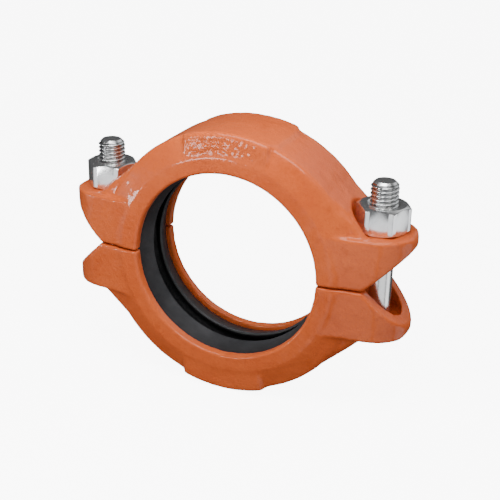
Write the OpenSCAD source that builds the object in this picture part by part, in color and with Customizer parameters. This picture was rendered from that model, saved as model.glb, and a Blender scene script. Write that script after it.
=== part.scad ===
// Two-bolt coupling for grooved pipe. Two cast housing halves clamp a rubber gasket
// over the joint of two pipes, and their keys sit in the groove of each pipe.
// Y runs along the pipe, X across the two bolts and Z along the bolts, with the nuts up.
// The origin is the centre of the bore, in the plane where the halves meet.

/* [Pipe groove] */
// Radius of the keys, which clamp the floor of the pipe's groove
key_r = 55.5; // [55.2:0.1:56.5]
// Width of the housings over the outer faces of the keys
width = 50; // [48:0.5:54]
// Thickness of each key along the pipe
key_w = 6; // [5:0.5:7]

/* [Housings] */
// Outer radius of the ring body
body_r = 78.5; // [77.5:0.5:81]
// Radius where the flat end face turns into the bevel
face_r = 65; // [63:0.5:67]
// Distance from mid width to the crest where the bevel meets the outside
crest_y = 20.5; // [16:0.5:21]
// How far the centre pad stands out from the ring body
pad_rise = 0.8; // [0.6:0.1:2]
// Distance from mid width to the crest of the centre pad
pad_crest_y = 23.5; // [21:0.5:24]
// Length of the centre pad across the bolts, at its crests
pad_length = 50; // [44:1:56]
// Gap left between the two halves
parting_gap = 0.8; // [0.4:0.1:2]

/* [Bolt ears] */
// Distance between the two bolts
bolt_span = 168.8; // [168:0.2:171]
// Height of the nut seat above the parting plane
seat_z = 30; // [28:0.5:32]
// Distance from the bore's centre to the tip of each ear
ear_tip_x = 104.9; // [104:0.1:106]
// Radius of the ear's round end
ear_r = 22; // [21:0.5:22.5]
// Radius of the hollow in the ear, about the bolt
hollow_r = 14.2; // [13.4:0.2:15]
// Thickness of the plate that the nut or bolt head sits on
seat_plate = 8; // [7:0.5:9]
// Distance from the bore's centre to where the ears open
ear_open_x = 81; // [79:0.5:82]
// Slope of the opening between the ears
ear_slope = 44; // [40:1:46]
// Slope of the ramp between the ring body and the nut seat
ramp_slope = 42; // [38:1:46]

/* [Bolts and nuts] */
// Outer diameter of the bolt's thread
thread_d = 15.88; // [15.8:0.02:15.9]
// Length of the bolt under its head
bolt_length = 88.5; // [86:0.5:92]
// Width of the nut across its flats
nut_flats = 26.97; // [26.5:0.01:27]
// Height of the nut
nut_height = 15.5; // [14.5:0.5:16]
// Turn of the left nut about its bolt
left_nut_turn = 12; // [0:1:59]
// Turn of the right nut about its bolt
right_nut_turn = 6; // [0:1:59]

/* [Gasket] */
// Outer radius of the gasket
gasket_r = 70; // [69:0.5:70]
// Inner radius at the tips of the two lips
lip_r = 54.2; // [53.5:0.1:55]
// Half of the gap between the two lip tips
lip_gap = 4.6; // [3.5:0.1:6]

/* [Hidden] */

enamel = [0.77, 0.42, 0.25];
rubber = [0.13, 0.13, 0.14];
zinc = [0.80, 0.82, 0.82];

// Joins: small clearances between pieces, and the overlap that a cut needs
clearance = 0.3;
cut = 1;
edge = 1;

bolt_x = bolt_span / 2;
pocket_r = gasket_r + clearance;
pocket_y = width / 2 - key_w;
pocket_wall = 5;

// Ear: where its straight sides leave the ring body, and how far it reaches
ear_root_x = 60;
ear_root_y = width / 2 - edge / 2;
ear_round = 4;

// Ramp: how far its plane passes from the bore's centre, and its half widths
ramp_depth = body_r - 0.4;
ramp_top_y = crest_y - 3 * edge;
ramp_side_y = crest_y - edge / 2;
ramp_length = 60;

// Bolt: the oval neck and the oval hole that keeps it from turning
thread_r = thread_d / 2;
neck_r = 8.2;
neck_length = 21;
hole_play = 0.4;
head_r = 13.5;
head_rim = 1.2;
head_dome = 5.8;
tip_chamfer = 2.4;

// Nut: running clearance on the bolt, and the pocket it turns in
nut_bore_r = thread_r + 0.06;
nut_corner_r = nut_flats / 2 / cos(30);
nut_pocket_r = nut_corner_r + 1.6;
nut_face_r = nut_flats / 2 - 0.6;

// Points of an arc about [cx, cy]
function arc(r, from, to, steps, cx = 0, cy = 0) = [
    for (i = [0 : steps])
        let (a = from + (to - from) * i / steps)
            [cx + r * cos(a), cy + r * sin(a)]
];

// A half outline, given for y >= 0 and from the inside out, closed by its mirror image
function mirrored(points) = concat(
    points,
    [for (i = [len(points) - 1 : -1 : 0]) [points[i][0], -points[i][1]]]
);

// Solid section of the ring body, before the inside is cut out
ring_section = mirrored([
    [key_r - edge, width / 2],
    [face_r, width / 2],
    [body_r - edge, crest_y + edge / 2],
    [body_r, crest_y - edge],
]);

// The pad fills the bevel nearly up to the end face, from just below that face
pad_section = mirrored([
    [face_r - 2, width / 2 - 0.4],
    [body_r + pad_rise - edge, pad_crest_y + edge / 2],
    [body_r + pad_rise, pad_crest_y - edge],
]);

// Section of the space inside the ring: the bore between the keys and the gasket's pocket
inside_section = mirrored([
    [0, width / 2 + edge],
    [key_r + 2 * edge, width / 2 + edge],
    [key_r, width / 2 - edge],
    [key_r, pocket_y],
    [key_r + 5.4, pocket_y],
    [pocket_r, 12.7],
]);

// Section of the gasket: a back, two side walls, and two lips that slope in to their tips
gasket_section = mirrored([
    [gasket_r - 4.8, 10.6],
    [60.6, 13.6],
    [lip_r + 3, lip_gap + 0.9],
    [lip_r + 1.2, lip_gap],
    [lip_r, lip_gap + 0.8],
    [58.4, pocket_y - 0.6],
    [60.6, pocket_y - 0.5],
    [gasket_r, 12.4],
]);

// Revolves a section about the pipe's axis, from an angle above +X
module around_pipe(from = 0, sweep = 180) {
    rotate([90, 0, 0])
        rotate([0, 0, from])
            rotate_extrude(angle = sweep, $fn = 180)
                children();
}

// A plate with a side view drawn in X and Z
module side_plate(half_y) {
    rotate([90, 0, 0])
        translate([0, 0, -half_y])
            linear_extrude(2 * half_y)
                children();
}

// An oval outline, long across the pipe
module oval(r, length) {
    straight = length / 2 - r;
    polygon(concat(
        arc(r, -90, 90, 16, straight),
        arc(r, 90, 270, 16, -straight)
    ));
}

// Plan of the centre pad: its end faces lean in towards the crests
module pad_plan() {
    top_x = pad_length / 2 - edge;
    top_y = pad_crest_y + 2 * edge;
    base_x = pad_length / 2 + 3.5;
    base_y = crest_y - 4 * edge;
    polygon([
        [base_x, base_y],
        [top_x, top_y],
        [-top_x, top_y],
        [-base_x, base_y],
        [-base_x, -base_y],
        [-top_x, -top_y],
        [top_x, -top_y],
        [base_x, -base_y],
    ]);
}

// Thick pad across the middle of the ring body
module centre_pad() {
    intersection() {
        around_pipe(60, 60)
            polygon(pad_section);
        linear_extrude(2 * body_r)
            pad_plan();
    }
}

// Plan of the right ear: sides that narrow from the ring body to a round end
module ear_plan() {
    narrowing = 8;
    polygon(concat(
        [[ear_root_x, -ear_root_y]],
        arc(ear_r, narrowing - 90, 90 - narrowing, 20, ear_tip_x - ear_r),
        [[ear_root_x, ear_root_y]]
    ));
}

// Side view of the right ear: parting face, open slope, round shoulder and flat seat
module ear_side() {
    slope_z = (ear_tip_x - ear_open_x) * tan(ear_slope);
    polygon(concat(
        [
            [ear_root_x, 0],
            [ear_open_x, 0],
            [ear_tip_x, slope_z],
        ],
        arc(ear_round, 0, 90, 5, ear_tip_x - ear_round, seat_z - ear_round),
        [[ear_root_x, seat_z]]
    ));
}

// Ramp with sloping sides that leads from the ring body down to the nut seat
module seat_ramp() {
    side_drop = ramp_side_y - ramp_top_y;
    rotate([0, ramp_slope, 0])
        translate([0, 0, ramp_depth])
            rotate([90, 0, 90])
                linear_extrude(ramp_length)
                    polygon([
                        [ramp_top_y, 0],
                        [ramp_side_y, -side_drop],
                        [ramp_side_y, -ramp_depth / 2],
                        [-ramp_side_y, -ramp_depth / 2],
                        [-ramp_side_y, -side_drop],
                        [-ramp_top_y, 0],
                    ]);
}

module right_ear() {
    intersection() {
        linear_extrude(seat_z)
            ear_plan();
        side_plate(width)
            ear_side();
    }
    intersection() {
        seat_ramp();
        translate([0, 0, seat_z - edge])
            linear_extrude(body_r)
                ear_plan();
    }
}

// What is cut from the right ear: its hollow, the nut's pocket and the oval bolt hole
module right_ear_cuts() {
    difference() {
        translate([bolt_x, 0, -cut])
            cylinder(r = hollow_r, h = seat_z - seat_plate + cut, $fn = 64);
        rotate([90, 0, 0])
            cylinder(r = pocket_r + pocket_wall, h = 2 * width, center = true, $fn = 180);
    }
    translate([bolt_x, 0, seat_z])
        cylinder(r = nut_pocket_r, h = body_r, $fn = 64);
    translate([bolt_x, 0, -cut])
        linear_extrude(seat_z + 2 * cut)
            oval(neck_r + hole_play, neck_length + 2 * hole_play);
}

// One casting, as it sits above the parting plane
module housing_half() {
    difference() {
        union() {
            around_pipe()
                polygon(ring_section);
            centre_pad();
            right_ear();
            mirror([1, 0, 0])
                right_ear();
        }
        around_pipe(0, 360)
            polygon(inside_section);
        right_ear_cuts();
        mirror([1, 0, 0])
            right_ear_cuts();
        translate([-2 * body_r, -width, -body_r])
            cube([4 * body_r, 2 * width, body_r + parting_gap / 2]);
    }
}

module upper_housing() {
    color(enamel)
        housing_half();
}

module lower_housing() {
    color(enamel)
        rotate([0, 180, 0])
            housing_half();
}

module gasket() {
    color(rubber)
        around_pipe(0, 360)
            polygon(gasket_section);
}

// Track-head bolt: domed head, oval neck in the lower ear, and a chamfered thread end
module bolt() {
    dome_r = (pow(head_r, 2) + pow(head_dome, 2)) / (2 * head_dome);
    color(zinc)
        translate([0, 0, -seat_z]) {
            intersection() {
                translate([0, 0, dome_r - head_dome - head_rim])
                    sphere(r = dome_r, $fn = 96);
                translate([0, 0, -head_dome - head_rim - cut])
                    cylinder(r = head_r, h = head_dome + head_rim + cut, $fn = 64);
            }
            linear_extrude(seat_plate)
                oval(neck_r, neck_length);
            cylinder(r = thread_r, h = bolt_length - tip_chamfer, $fn = 64);
            translate([0, 0, bolt_length - tip_chamfer])
                cylinder(r1 = thread_r, r2 = thread_r - tip_chamfer, h = tip_chamfer, $fn = 64);
        }
}

// Heavy hexagon nut with chamfered corners at both ends
module nut(turn) {
    color(zinc)
        translate([0, 0, seat_z])
            difference() {
                intersection() {
                    rotate([0, 0, turn])
                        cylinder(r = nut_corner_r, h = nut_height, $fn = 6);
                    nut_chamfer_cone();
                }
                translate([0, 0, -cut])
                    cylinder(r = nut_bore_r, h = nut_height + 2 * cut, $fn = 64);
            }
}

// Double cone that trims the nut's corners
module nut_chamfer_cone() {
    outer_r = nut_corner_r + cut;
    rise = (outer_r - nut_face_r) * tan(30);
    rotate_extrude($fn = 96)
        polygon([
            [0, 0],
            [nut_face_r, 0],
            [outer_r, rise],
            [outer_r, nut_height - rise],
            [nut_face_r, nut_height],
            [0, nut_height],
        ]);
}

module left_bolt() {
    translate([-bolt_x, 0, 0])
        bolt();
}

module right_bolt() {
    translate([bolt_x, 0, 0])
        bolt();
}

module left_nut() {
    translate([-bolt_x, 0, 0])
        nut(left_nut_turn);
}

module right_nut() {
    translate([bolt_x, 0, 0])
        nut(right_nut_turn);
}

upper_housing();
lower_housing();
gasket();
left_bolt();
right_bolt();
left_nut();
right_nut();
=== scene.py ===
"""Looks of a two-bolt coupling for grooved pipe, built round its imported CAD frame.

Y runs along the pipe, X across the two bolts and Z along the bolts, with the nuts up.
Lengths are in metres.
"""

import math

import bpy
import numpy as np
from mathutils import Matrix, Vector


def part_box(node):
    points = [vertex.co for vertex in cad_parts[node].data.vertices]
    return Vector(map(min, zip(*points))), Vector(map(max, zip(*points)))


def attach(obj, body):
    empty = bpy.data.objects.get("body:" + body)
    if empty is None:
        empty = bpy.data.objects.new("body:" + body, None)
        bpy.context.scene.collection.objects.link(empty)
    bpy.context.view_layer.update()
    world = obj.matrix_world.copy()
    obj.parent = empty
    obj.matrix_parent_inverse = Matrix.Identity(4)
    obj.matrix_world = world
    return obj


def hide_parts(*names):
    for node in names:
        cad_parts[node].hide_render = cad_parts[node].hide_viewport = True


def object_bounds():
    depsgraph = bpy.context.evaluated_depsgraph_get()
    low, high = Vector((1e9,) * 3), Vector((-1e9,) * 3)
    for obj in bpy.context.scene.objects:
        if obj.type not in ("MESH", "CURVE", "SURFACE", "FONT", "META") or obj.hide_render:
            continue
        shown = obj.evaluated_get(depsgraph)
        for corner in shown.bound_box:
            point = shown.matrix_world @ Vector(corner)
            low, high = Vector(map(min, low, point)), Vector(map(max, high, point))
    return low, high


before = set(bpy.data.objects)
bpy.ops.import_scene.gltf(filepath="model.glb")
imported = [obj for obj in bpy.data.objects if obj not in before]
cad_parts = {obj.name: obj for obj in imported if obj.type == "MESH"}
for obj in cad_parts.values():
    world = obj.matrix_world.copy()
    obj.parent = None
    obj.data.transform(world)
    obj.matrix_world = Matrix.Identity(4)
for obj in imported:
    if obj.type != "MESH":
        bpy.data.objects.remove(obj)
cad_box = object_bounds()

MM = 0.001
INCH = 25.4 * MM

# Spacing of the even grid that the castings are rebuilt on
VOXEL = 0.78 * MM

# How far below the CAD faces the middle of the castings' skin lies
SKIN_DEPTH = 0.06 * MM

# How far the castings stay inside their CAD boxes
BOX_MARGIN = 0.02 * MM

# Names of the numbers that meshes hold at their points, for the materials to read
# The first name holds painted shade: how far a point's colour is darkened where shade falls, in
# thread roots and in the rubber ring's hollows
PAINTED_SHADE = "groove"
COARSE = "coarse"

# The studio's light between its bright panels
WORLD_FLOOR = 0.07


def direction(azimuth, elevation):
    """A unit vector from the coupling: azimuth 0 is towards -Y and 90 towards +X, in degrees."""
    a, e = math.radians(azimuth), math.radians(elevation)
    return Vector((math.sin(a) * math.cos(e), -math.cos(a) * math.cos(e), math.sin(e)))


def between(value, start, end):
    """0 before start and 1 past end, straight in between. Start may be the larger of the two."""
    return np.clip((value - start) / (end - start), 0, 1)


# ---------------------------------------------------------------- sizes from the frame

def node_centre(node):
    low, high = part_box(node)
    return (low + high) / 2


def node_size(node):
    low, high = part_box(node)
    return high - low


bolt_x = {side: node_centre(side + "_bolt").x for side in ("left", "right")}
seat_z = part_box("left_nut")[0].z
bolt_tip_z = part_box("left_bolt")[1].z
bolt_foot_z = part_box("left_bolt")[0].z
floor_z = cad_box[0].z

# Thread of the bolts and nuts, 11 turns to the inch
PITCH = INCH / 11
THREAD_R = 7.9 * MM
ROOT_R = 6.75 * MM


# ---------------------------------------------------------------- camera

def add_camera():
    """The camera stands in front of the coupling, to its right and above it."""
    azimuth, elevation, roll = 22.5, 23.0, math.radians(1.4)
    distance = 600 * MM
    aim_right, aim_up = 6.0 * MM, 1.8 * MM
    back = direction(azimuth, elevation)
    level = direction(azimuth + 90, 0)
    over = back.cross(level)
    right = level * math.cos(roll) + over * math.sin(roll)
    up = over * math.cos(roll) - level * math.sin(roll)
    data = bpy.data.cameras.new("camera")
    data.lens = 73.4
    data.sensor_width = 36
    data.clip_start = 0.05
    data.clip_end = 20
    camera = bpy.data.objects.new("camera", data)
    turn = Matrix((right, up, back)).transposed().to_4x4()
    place = right * aim_right + up * aim_up + back * distance
    camera.matrix_world = Matrix.Translation(place) @ turn
    bpy.context.scene.collection.objects.link(camera)
    bpy.context.scene.camera = camera


add_camera()


# ---------------------------------------------------------------- materials

class Nodes:
    """Builds one material's node tree with short calls."""

    def __init__(self, name):
        self.material = bpy.data.materials.new(name)
        self.material.use_nodes = True
        self.tree = self.material.node_tree
        self.tree.nodes.clear()
        self.output = self.tree.nodes.new("ShaderNodeOutputMaterial")
        self.shader = self.tree.nodes.new("ShaderNodeBsdfPrincipled")
        self.link(self.shader.outputs["BSDF"], self.output.inputs["Surface"])
        self.place = self.tree.nodes.new("ShaderNodeTexCoord").outputs["Object"]

    def link(self, source, target):
        self.tree.links.new(source, target)

    def set(self, **values):
        """Constant shader inputs, with underscores for the spaces in their names."""
        for name, value in values.items():
            self.shader.inputs[name.replace("_", " ")].default_value = value

    def noise(self, scale, detail=3.0, roughness=0.5, distortion=0.0):
        node = self.tree.nodes.new("ShaderNodeTexNoise")
        node.inputs["Scale"].default_value = scale
        node.inputs["Detail"].default_value = detail
        node.inputs["Roughness"].default_value = roughness
        node.inputs["Distortion"].default_value = distortion
        self.link(self.place, node.inputs["Vector"])
        return node.outputs["Fac"]

    def cells(self, scale):
        node = self.tree.nodes.new("ShaderNodeTexVoronoi")
        node.feature = "SMOOTH_F1"
        node.inputs["Scale"].default_value = scale
        node.inputs["Smoothness"].default_value = 0.6
        self.link(self.place, node.inputs["Vector"])
        return node.outputs["Distance"]

    def ramp(self, value, low, high, low_out=0.0, high_out=1.0):
        """The source's span from low to high, mapped to the two outputs."""
        node = self.tree.nodes.new("ShaderNodeMapRange")
        node.inputs["From Min"].default_value = low
        node.inputs["From Max"].default_value = high
        node.inputs["To Min"].default_value = low_out
        node.inputs["To Max"].default_value = high_out
        self.link(value, node.inputs["Value"])
        return node.outputs["Result"]

    def math(self, operation, a, b):
        """One sum or product of two sources or numbers."""
        node = self.tree.nodes.new("ShaderNodeMath")
        node.operation = operation
        for socket, value in zip(node.inputs, (a, b)):
            if isinstance(value, (int, float)):
                socket.default_value = value
            else:
                self.link(value, socket)
        return node.outputs["Value"]

    def mix(self, factor, a, b):
        """Colour a where the factor is 0 and colour b where it is 1."""
        node = self.tree.nodes.new("ShaderNodeMix")
        node.data_type = "RGBA"
        sockets = {s.identifier: s for s in node.inputs}
        pairs = (("Factor_Float", factor), ("A_Color", a), ("B_Color", b))
        for key, value in pairs:
            if isinstance(value, (int, float)):
                sockets[key].default_value = value
            elif isinstance(value, tuple):
                sockets[key].default_value = (*value, 1)
            else:
                self.link(value, sockets[key])
        return next(s for s in node.outputs if s.identifier == "Result_Color")

    def colour(self, source):
        self.link(source, self.shader.inputs["Base Color"])

    def rough(self, source):
        self.link(source, self.shader.inputs["Roughness"])

    def bump(self, *layers):
        """Each layer is a height source and its distance in metres."""
        normal = None
        for height, distance in layers:
            node = self.tree.nodes.new("ShaderNodeBump")
            node.inputs["Distance"].default_value = distance
            node.inputs["Strength"].default_value = 1.0
            self.link(height, node.inputs["Height"])
            if normal is not None:
                self.link(normal, node.inputs["Normal"])
            normal = node.outputs["Normal"]
        self.link(normal, self.shader.inputs["Normal"])

    def attribute(self, name):
        """A number that the mesh holds at each of its points."""
        node = self.tree.nodes.new("ShaderNodeAttribute")
        node.attribute_name = name
        return node.outputs["Fac"]


def enamel_material():
    """Orange enamel, sprayed over the grainy skin of an iron casting."""
    n = Nodes("orange_enamel")
    n.set(Coat_Weight=0.4, Coat_Roughness=0.08, Specular_IOR_Level=0.1)
    drift = n.noise(26, 3)
    tone = n.mix(n.ramp(drift, 0.35, 0.65), (0.61, 0.105, 0.024), (0.69, 0.132, 0.032))
    thin = n.ramp(n.noise(120, 4, 0.6), 0.28, 0.42, 1.0, 0.0)
    tone = n.mix(n.math("MULTIPLY", thin, 0.35), tone, (0.46, 0.072, 0.011))
    flecks = n.ramp(n.noise(700, 4, 0.6), 0.30, 0.48, 1.0, 0.0)
    tone = n.mix(n.math("MULTIPLY", flecks, 0.22), tone, (0.42, 0.062, 0.011))
    n.colour(tone)
    n.rough(n.ramp(n.noise(140, 3), 0.3, 0.7, 0.30, 0.46))
    n.bump(
        (n.noise(160, 3), 0.00040),
        (n.noise(420, 3, 0.55), 0.00022),
        (n.cells(900), 0.00007),
        (n.noise(2200, 2), 0.00001),
        (n.math("MULTIPLY", n.noise(1100, 3, 0.6), n.attribute(COARSE)), 0.00075),
    )
    return n.material


def zinc_material():
    """Bright zinc plate over rolled or forged steel, with a faint blue and yellow cast."""
    n = Nodes("zinc_plate")
    n.set(Metallic=0.97)
    cast = n.ramp(n.noise(95, 3, 0.6), 0.32, 0.68)
    warm = n.ramp(n.noise(60, 2, 0.5, 0.4), 0.50, 0.80)
    tone = n.mix(cast, (0.90, 0.92, 0.935), (0.96, 0.96, 0.95))
    tone = n.mix(n.math("MULTIPLY", warm, 0.25), tone, (0.93, 0.88, 0.79))
    # Painted shade: the thread roots darkened towards dark grey, by the amount each bolt stores
    tone = n.mix(n.attribute(PAINTED_SHADE), tone, (0.16, 0.16, 0.16))
    n.colour(tone)
    smear = n.noise(300, 4, 0.65)
    n.rough(n.ramp(smear, 0.25, 0.75, 0.17, 0.27))
    n.bump((n.noise(330, 4, 0.6), 0.000018), (n.noise(1500, 2, 0.5), 0.000003))
    return n.material


def rubber_material():
    """Moulded EPDM with a satin skin and a little bloom."""
    n = Nodes("black_rubber")
    n.set(Specular_IOR_Level=0.45)
    bloom = n.ramp(n.noise(70, 4, 0.6), 0.35, 0.75)
    tone = n.mix(bloom, (0.024, 0.025, 0.028), (0.050, 0.051, 0.055))
    # Painted shade: the lips' inner faces and the shoulders beside the housings' keys darkened
    # nearly to black
    n.colour(n.mix(n.attribute(PAINTED_SHADE), tone, (0.006, 0.006, 0.007)))
    n.rough(n.ramp(n.noise(180, 3), 0.3, 0.7, 0.38, 0.55))
    n.bump((n.noise(260, 3), 0.00012), (n.noise(1800, 2), 0.00002))
    return n.material


ENAMEL = enamel_material()
ZINC = zinc_material()
RUBBER = rubber_material()


# ---------------------------------------------------------------- mesh helpers

def new_piece(name, points, faces, material):
    mesh = bpy.data.meshes.new(name)
    mesh.from_pydata([tuple(p) for p in points], [], faces)
    mesh.materials.append(material)
    mesh.update()
    piece = bpy.data.objects.new(name, mesh)
    bpy.context.scene.collection.objects.link(piece)
    return piece


def shade(piece, angle):
    """Smooth shading that keeps edges sharper than the angle, in degrees."""
    piece.data.polygons.foreach_set("use_smooth", [True] * len(piece.data.polygons))
    piece.data.set_sharp_from_angle(angle=math.radians(angle))


def mark(piece, name, values):
    """Stores a number at each point, which a material can read."""
    piece.data.attributes.new(name, "FLOAT", "POINT").data.foreach_set("value", values)


def grid_faces(rows, columns, wrap_rows=False):
    """Quads of a grid whose columns close on themselves, with rows in order outwards."""
    faces = []
    for i in range(rows if wrap_rows else rows - 1):
        a, b = i * columns, (i + 1) % rows * columns
        for j in range(columns):
            k = (j + 1) % columns
            faces.append((a + j, a + k, b + k, b + j))
    return faces


def turned(name, radii, heights, material, centre=(0, 0, 0), closed=False, axis="Z"):
    """A turned piece from a grid of radii and heights: rows along the outline, columns round it.

    An outline that isn't closed starts and ends on the axis, where it gets one point."""
    rows, columns = radii.shape
    angles = 2 * math.pi * np.arange(columns) / columns
    points = np.stack([radii * np.cos(angles), radii * np.sin(angles), heights], -1)
    points = points.reshape(-1, 3)
    faces = grid_faces(rows, columns, closed)
    if not closed:
        first = len(points)
        ends = [(0, 0, heights[0].mean()), (0, 0, heights[-1].mean())]
        points = np.vstack([points, ends])
        last_row = (rows - 1) * columns
        for j in range(columns):
            k = (j + 1) % columns
            faces.append((first, k, j))
            faces.append((first + 1, last_row + j, last_row + k))
    if axis == "Y":
        points = points[:, [0, 2, 1]]
        faces = [face[::-1] for face in faces]
    return new_piece(name, points + np.array(centre), faces, material)


def rounded(outline, radius, steps, closed=True):
    """An outline with its corners rounded. A radius may be one number or one for each point."""
    points = np.array(outline, float)
    count = len(points)
    radii = np.broadcast_to(np.array(radius, float), (count,))
    result = []
    shortest, straightest = 1e-7, math.radians(88)
    for i in range(count):
        if not closed and i in (0, count - 1):
            result.append(points[i])
            continue
        here = points[i]
        before = points[i - 1] - here
        after = points[(i + 1) % count] - here
        reach_in, reach_out = np.linalg.norm(before), np.linalg.norm(after)
        before, after = before / reach_in, after / reach_out
        half = math.acos(max(-1.0, min(1.0, float(before @ after)))) / 2
        reach = min(radii[i] / math.tan(half), 0.48 * reach_in, 0.48 * reach_out)
        if reach < shortest or half > straightest:
            result.append(here)
            continue
        start, end = here + before * reach, here + after * reach
        for s in range(steps + 1):
            t = s / steps
            result.append((1 - t) ** 2 * start + 2 * t * (1 - t) * here + t ** 2 * end)
    return np.array(result)


# ---------------------------------------------------------------- castings

def remeshed(node, voxel):
    """Points and quads of a CAD node's own mesh, rebuilt on an even grid."""
    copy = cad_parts[node].copy()
    copy.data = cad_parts[node].data.copy()
    copy.parent = None
    bpy.context.scene.collection.objects.link(copy)
    remesh = copy.modifiers.new("even", "REMESH")
    remesh.mode = "VOXEL"
    remesh.voxel_size = voxel
    graph = bpy.context.evaluated_depsgraph_get()
    mesh = bpy.data.meshes.new_from_object(copy.evaluated_get(graph))
    points = np.empty(len(mesh.vertices) * 3)
    mesh.vertices.foreach_get("co", points)
    faces = [tuple(p.vertices) for p in mesh.polygons]
    edges = np.empty(len(mesh.edges) * 2, np.int64)
    mesh.edges.foreach_get("vertices", edges)
    bpy.data.objects.remove(copy)
    bpy.data.meshes.remove(mesh)
    return points.reshape(-1, 3), faces, edges.reshape(-1, 2)


def relaxed(points, edges, rounds, weight):
    """Points moved towards the mean of their neighbours, which rounds every edge and corner."""
    both = np.vstack([edges, edges[:, ::-1]])
    counts = np.bincount(both[:, 0], minlength=len(points))[:, None]
    for _ in range(rounds):
        total = np.zeros_like(points)
        for k in range(3):
            total[:, k] = np.bincount(both[:, 0], points[both[:, 1], k], len(points))
        points = points + weight[:, None] * (total / counts - points)
    return points


def waves(points, wavelength, seed, count=24):
    """A smooth random field between about -1 and 1, summed from waves in all directions."""
    draw = np.random.default_rng(seed)
    field = np.zeros(len(points))
    for _ in range(count):
        way = draw.normal(size=3)
        way *= 2 * math.pi / (wavelength * np.linalg.norm(way) * draw.uniform(0.75, 1.35))
        field += np.sin(points @ way + draw.uniform(0, 2 * math.pi))
    return field / math.sqrt(count)


def skin(points):
    """Height of the gentle unevenness that sand leaves on a casting."""
    return 0.05 * MM * waves(points, 9 * MM, 3) + 0.02 * MM * waves(points, 3.5 * MM, 4)


def pad_skin(points, strength):
    """How coarse the skin is: none off the centre pad's faces, and least towards their right."""
    x, y, z = points.T / MM
    reach = np.hypot(x, z)
    front = between(np.abs(y), 21, 22.5)
    inner = between(reach, 66.5, 68.5)
    outer = between(reach, 78, 76.5)
    ends = between(np.abs(x), 24, 18)
    leftward = np.maximum(between(x, 22, -12), 0.25)
    return strength * front * inner * outer * ends * leftward


def pad_relief(points):
    """Depth of the pits that the coarse skin is made of."""
    middle, swing = 0.06 * MM, 0.13 * MM
    field = waves(points, 3.4 * MM, 7, 60) + 1.2 * waves(points, 1.9 * MM, 8, 60)
    return middle - swing * field


def casting(name, node, coarseness):
    """A housing with the soft edges and fillets of an iron casting under enamel."""
    points, faces, edges = remeshed(node, VOXEL)
    bore = np.hypot(points[:, 0], points[:, 2])
    outside = between(bore, 58 * MM, 62 * MM)
    points = relaxed(points, edges, 3, np.full(len(points), 0.5))
    points = relaxed(points, edges, 5, 0.5 * outside)
    piece = new_piece(name, points, faces, ENAMEL)
    normals = np.empty(len(points) * 3)
    piece.data.vertices.foreach_get("normal", normals)
    normals = normals.reshape(-1, 3)
    coarse = pad_skin(points, coarseness)
    lift = skin(points) - SKIN_DEPTH - coarse * pad_relief(points)
    points = points + normals * lift[:, None]
    low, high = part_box(node)
    points = np.clip(points, np.array(low) + BOX_MARGIN, np.array(high) - BOX_MARGIN)
    piece.data.vertices.foreach_set("co", points.ravel())
    mark(piece, COARSE, coarse)
    piece.data.polygons.foreach_set("use_smooth", [True] * len(piece.data.polygons))
    piece.data.update()
    return piece


# ---------------------------------------------------------------- gasket

def gasket():
    """A rubber ring with a C-shaped section: a back, two walls and two sloping lips."""
    half = node_size("gasket").y / 2 / MM
    outer = node_size("gasket").x / 2 / MM
    back, foot_r, tip_r = 4.8, 60.6, 54.2
    # Each point has its radius, its distance from the middle and its corner's radius, in mm
    side = [
        # The cavity: its corner at the back, the foot of the wall and the root of the lip's tip
        (outer - back, 10.6, 3.0),
        (foot_r, 13.6, 2.0),
        (57.2, 5.5, 0.5),
        # The lip's blunt tip
        (55.4, 4.6, 0.5),
        (tip_r, 5.4, 0.5),
        # The outside: the end of the lip's slope, the foot of the wall and the back's corner
        (58.4, half - 0.1, 0.7),
        (foot_r, half, 0.8),
        (outer, 12.4, 1.6),
    ]
    outline = [(r, y) for r, y, _ in side] + [(r, -y) for r, y, _ in reversed(side)]
    radii = [c for _, _, c in side] + [c for _, _, c in reversed(side)]
    section = rounded(outline, radii, 5) * MM
    columns = 240
    r = np.repeat(section[:, :1], columns, 1)
    h = np.repeat(section[:, 1:], columns, 1)
    piece = turned("gasket_ring", r, h, RUBBER, closed=True, axis="Y")
    shade(piece, 50)
    x, y, z = np.array([v.co for v in piece.data.vertices]).T / MM
    y = np.abs(y)
    # Painted shade on the inner faces of the lips and on the outer shoulders beside the housings'
    # keys
    lip_edge = 4.4 + 1.77 * (np.hypot(x, z) - tip_r)
    inside = between(y, lip_edge, lip_edge - 1.2)
    shaded_shoulder = between(y, half - 2.6, half - 1.2)
    mark(piece, PAINTED_SHADE, np.clip(inside + 0.8 * shaded_shoulder, 0, 0.92))
    return piece


# ---------------------------------------------------------------- bolts

def oval_radius(angles, r, length):
    """Distance from the centre to the edge of an oval that is long along X."""
    straight = length / 2 - r
    c, s = np.abs(np.cos(angles)), np.abs(np.sin(angles))
    flat = r / np.maximum(s, 1e-9)
    round_end = straight * c + np.sqrt(np.maximum(r * r - (straight * s) ** 2, 0))
    return np.where(flat * c <= straight, flat, round_end)


def thread_radius(angles, height, top, run_out):
    """Radius of a right-hand thread with flat crests and round roots, fading into the shank."""
    phase = (height / PITCH - angles / (2 * math.pi)) % 1.0
    ridge = np.abs(phase - 0.5) * 2
    depth = np.clip((ridge - 0.10) / 0.72, 0, 1)
    depth = np.sin(depth * math.pi / 2) ** 1.3
    fade = np.clip((height - top) / run_out, 0, 1)
    return THREAD_R - (THREAD_R - ROOT_R) * depth * fade


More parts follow.
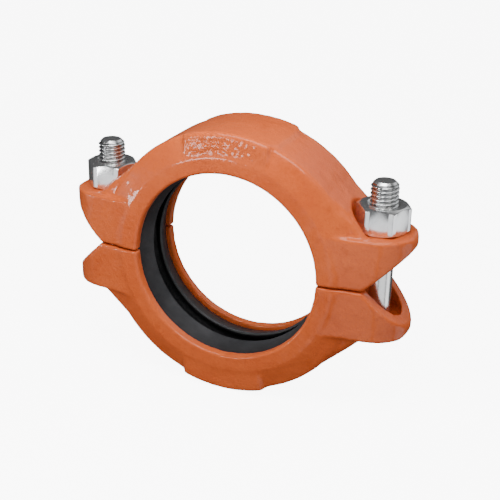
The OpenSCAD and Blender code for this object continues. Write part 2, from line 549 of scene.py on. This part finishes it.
def bolt(side):
    """A track-head bolt: domed head, oval neck, plain shank and rolled thread."""
    columns = 96
    rows_a_turn = 16
    rim_h = 1.2 * MM
    neck_r, neck_length, neck_h = 8.15 * MM, 20.9 * MM, 7.8 * MM
    thread_length = 45 * MM
    run_out = 1.5 * PITCH
    tip_bevel = 2.4 * MM
    angles = 2 * math.pi * np.arange(columns) / columns
    head_z = -seat_z
    head_r = node_size(side + "_bolt").y / 2
    dome_h = head_z - bolt_foot_z - rim_h
    dome_r = (head_r ** 2 + dome_h ** 2) / (2 * dome_h)
    span = math.asin(head_r / dome_r)
    rows = []
    for t in span * np.linspace(0.06, 0.96, 14):
        rows.append((dome_r * math.sin(t), bolt_foot_z + dome_r * (1 - math.cos(t))))
    rows += [(head_r * 0.995, head_z - 1.1 * MM), (head_r, head_z - 0.8 * MM)]
    rows += [(head_r, head_z - 0.3 * MM), (head_r - 0.3 * MM, head_z)]
    radii = [np.full(columns, r) for r, _ in rows]
    heights = [z for _, z in rows]
    neck = oval_radius(angles, neck_r, neck_length)
    neck_top = head_z + neck_h
    neck_rows = (
        (0, head_z + 0.01 * MM),
        (0, neck_top - 1.0 * MM),
        (0.5 * MM, neck_top - 0.3 * MM),
    )
    for inset, z in neck_rows:
        radii.append(np.maximum(neck - inset, THREAD_R))
        heights.append(z)
    radii.append(np.full(columns, THREAD_R + 0.05 * MM))
    heights.append(neck_top)
    thread_z = bolt_tip_z - thread_length
    for z in np.linspace(neck_top + 0.6 * MM, thread_z, 12):
        radii.append(np.full(columns, THREAD_R))
        heights.append(z)
    steps = int((bolt_tip_z - thread_z) / PITCH * rows_a_turn)
    tip_r = THREAD_R - tip_bevel
    for z in np.linspace(thread_z, bolt_tip_z - 0.05 * MM, steps)[1:]:
        cone = tip_r + (bolt_tip_z - z)
        radii.append(np.minimum(thread_radius(angles, z, thread_z, run_out), cone))
        heights.append(z)
    radii.append(np.full(columns, tip_r - 0.25 * MM))
    heights.append(bolt_tip_z)
    radii.append(np.full(columns, tip_r * 0.5))
    heights.append(bolt_tip_z - 0.05 * MM)
    radii = np.array(radii)
    heights = np.repeat(np.array(heights)[:, None], columns, 1)
    piece = turned(side + "_track_bolt", radii, heights, ZINC, (bolt_x[side], 0, 0))
    shade(piece, 35)
    x, y, z = np.array([v.co for v in piece.data.vertices]).T
    depth = (THREAD_R - np.hypot(x - bolt_x[side], y)) / (THREAD_R - ROOT_R)
    depth[(z < thread_z) | (z > bolt_tip_z - 1.2 * MM)] = 0
    # Painted shade in the thread roots, deepest at the root and none on the shank or the tip
    mark(piece, PAINTED_SHADE, np.clip(1.3 * depth - 0.35, 0, 0.85))
    return piece


# ---------------------------------------------------------------- nuts

def hexagon_radius(angles, flats, corner):
    """Distance from the centre to the edge of a hexagon whose corners are rounded."""
    half = flats / 2
    off = np.abs((angles + math.pi / 6) % (math.pi / 3) - math.pi / 6)
    centre = (half - corner) / math.cos(math.pi / 6)
    start = math.atan2(centre * math.sin(math.pi / 6), half)
    back = math.pi / 6 - off
    across = np.sqrt(np.maximum(corner ** 2 - (centre * np.sin(back)) ** 2, 0))
    return np.where(off < start, half / np.cos(off), centre * np.cos(back) + across)


def nut(side, turn):
    """A heavy hexagon nut with chamfered corners and a countersunk bore."""
    columns = 180
    flats, corner = 26.9 * MM, 0.7 * MM
    height = node_size(side + "_nut").z
    face = flats / 2 - 0.7 * MM
    bore, sink = 8.0 * MM, 9.0 * MM
    chamfer = math.radians(30)
    angles = 2 * math.pi * np.arange(columns) / columns
    edge = hexagon_radius(angles - turn, flats, corner)
    drop = (edge - face) * math.tan(chamfer)
    ring = np.ones(columns)
    rows = []
    for z, sign in ((0.0, 1), (height, -1)):
        half = [
            (bore * ring, z + sign * 1.4 * MM * ring),
            (bore * ring, z + sign * 1.0 * MM * ring),
            (sink * ring, z + sign * 0.12 * MM * ring),
            ((sink + 0.25 * MM) * ring, z * ring),
            ((face - 0.4 * MM) * ring, z * ring),
            (face * ring, z + sign * 0.05 * MM * ring),
            (face + (edge - face) * 0.9, z + sign * (drop * 0.9 + 0.05 * MM)),
            (edge, z + sign * (drop + 0.3 * MM)),
        ]
        rows += half if sign > 0 else half[::-1]
    radii = np.array([r for r, _ in rows])
    heights = np.array([h for _, h in rows]) + seat_z
    piece = turned(side + "_hex_nut", radii, heights, ZINC, (bolt_x[side], 0, 0), closed=True)
    shade(piece, 25)
    return piece


# ---------------------------------------------------------------- assembly

def fit(piece, node, body):
    """Puts a piece on its body, in the place of its CAD node."""
    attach(piece, body)
    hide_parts(node)


fit(casting("upper_casting", "upper_housing", 1.0), "upper_housing", "upper_half")
fit(casting("lower_casting", "lower_housing", 0.1), "lower_housing", "lower_half")
fit(gasket(), "gasket", "lower_half")
nut_turns = {"left": math.radians(42), "right": math.radians(36)}
for side in ("left", "right"):
    fit(bolt(side), side + "_bolt", "lower_half")
    fit(nut(side, nut_turns[side]), side + "_nut", side + "_nut")


# ---------------------------------------------------------------- stage

def stage_material():
    """A matt, nearly white paint that gives off the light it would get in a studio."""
    n = Nodes("studio_white")
    n.set(Roughness=0.9, Specular_IOR_Level=0.0, Emission_Color=(1, 1, 1, 1), Emission_Strength=8.0)
    n.colour(n.mix(n.ramp(n.noise(3, 2), 0.3, 0.7), (0.90, 0.90, 0.90), (0.93, 0.93, 0.93)))
    return n.material


def add_floor():
    """A pale floor that curves up into a low wall all round, out of the reflections' way."""
    radius, wall, bend = 3.2, 3.0, 1.2
    middle_gap = 0.1 * MM
    outline = rounded([(middle_gap, 0), (radius, 0), (radius, wall)], bend, 16, closed=False)
    columns = 96
    radii = np.repeat(outline[:, :1], columns, 1)
    heights = np.repeat(outline[:, 1:], columns, 1) + floor_z
    angles = 2 * math.pi * np.arange(columns) / columns
    points = np.stack([radii * np.cos(angles), radii * np.sin(angles), heights], -1)
    faces = grid_faces(len(outline), columns)
    floor = new_piece("floor", points.reshape(-1, 3), faces, stage_material())
    shade(floor, 60)
    floor.visible_glossy = False
    floor.visible_diffuse = False


def add_sun(name, way, power, spread, glossy=True):
    """A wide, far lamp, as soft as a big studio box, which gloss may or may not show."""
    data = bpy.data.lights.new(name, "SUN")
    data.energy = power
    data.angle = math.radians(spread)
    light = bpy.data.objects.new(name, data)
    light.rotation_euler = direction(*way).to_track_quat("Z", "Y").to_euler()
    light.location = direction(*way)
    light.visible_glossy = glossy
    bpy.context.scene.collection.objects.link(light)


def add_box(name, way, distance, size, power):
    """A soft box of the given width and height, which faces the coupling and isn't seen itself."""
    data = bpy.data.lights.new(name, "AREA")
    data.shape = "RECTANGLE"
    data.size, data.size_y = size
    data.energy = power
    light = bpy.data.objects.new(name, data)
    light.rotation_euler = direction(*way).to_track_quat("Z", "Y").to_euler()
    light.location = direction(*way) * distance
    light.visible_camera = False
    bpy.context.scene.collection.objects.link(light)


def add_world():
    """A dim studio with soft bright panels: where each is, its inner and outer angle, its light."""
    panels = [
        (-1, -24, 10, 18, 1.25),
        (52, -24, 22, 30, 1.1),
        (107, -23, 12, 20, 1.6),
        (-62, -10, 6, 16, 0.8),
        (152, 36, 12, 32, 0.7),
    ]
    world = bpy.data.worlds.new("studio")
    bpy.context.scene.world = world
    world.use_nodes = True
    tree = world.node_tree
    place = tree.nodes.new("ShaderNodeTexCoord").outputs["Generated"]
    total = None
    for azimuth, elevation, inner, outer, power in panels:
        dot = tree.nodes.new("ShaderNodeVectorMath")
        dot.operation = "DOT_PRODUCT"
        dot.inputs[1].default_value = direction(azimuth, elevation)
        tree.links.new(place, dot.inputs[0])
        edge = tree.nodes.new("ShaderNodeMapRange")
        edge.interpolation_type = "SMOOTHSTEP"
        edge.inputs["From Min"].default_value = math.cos(math.radians(outer))
        edge.inputs["From Max"].default_value = math.cos(math.radians(inner))
        edge.inputs["To Max"].default_value = power
        tree.links.new(dot.outputs["Value"], edge.inputs["Value"])
        add = tree.nodes.new("ShaderNodeMath")
        add.operation = "ADD"
        add.inputs[0].default_value = WORLD_FLOOR
        tree.links.new(edge.outputs["Result"], add.inputs[1])
        if total is not None:
            tree.links.new(total, add.inputs[0])
        total = add.outputs["Value"]
    background = tree.nodes["Background"]
    background.inputs["Color"].default_value = (0.97, 0.98, 1.0, 1)
    tree.links.new(total, background.inputs["Strength"])


add_floor()
add_world()
add_sun("top", (30, 62), 0.75, 60)
add_sun("back", (140, 36), 1.3, 50, glossy=False)
add_sun("rear", (-125, 40), 1.2, 40, glossy=False)
add_box("key box", (-27, 3), 0.42, (0.100, 0.060), 0.42)
add_box("left box", (-53, -4), 0.50, (0.090, 0.045), 0.42)
add_box("front box", (8, 62), 0.28, (0.26, 0.14), 0.92)
add_box("right box", (70, 14), 0.7, (0.30, 0.20), 0.75)
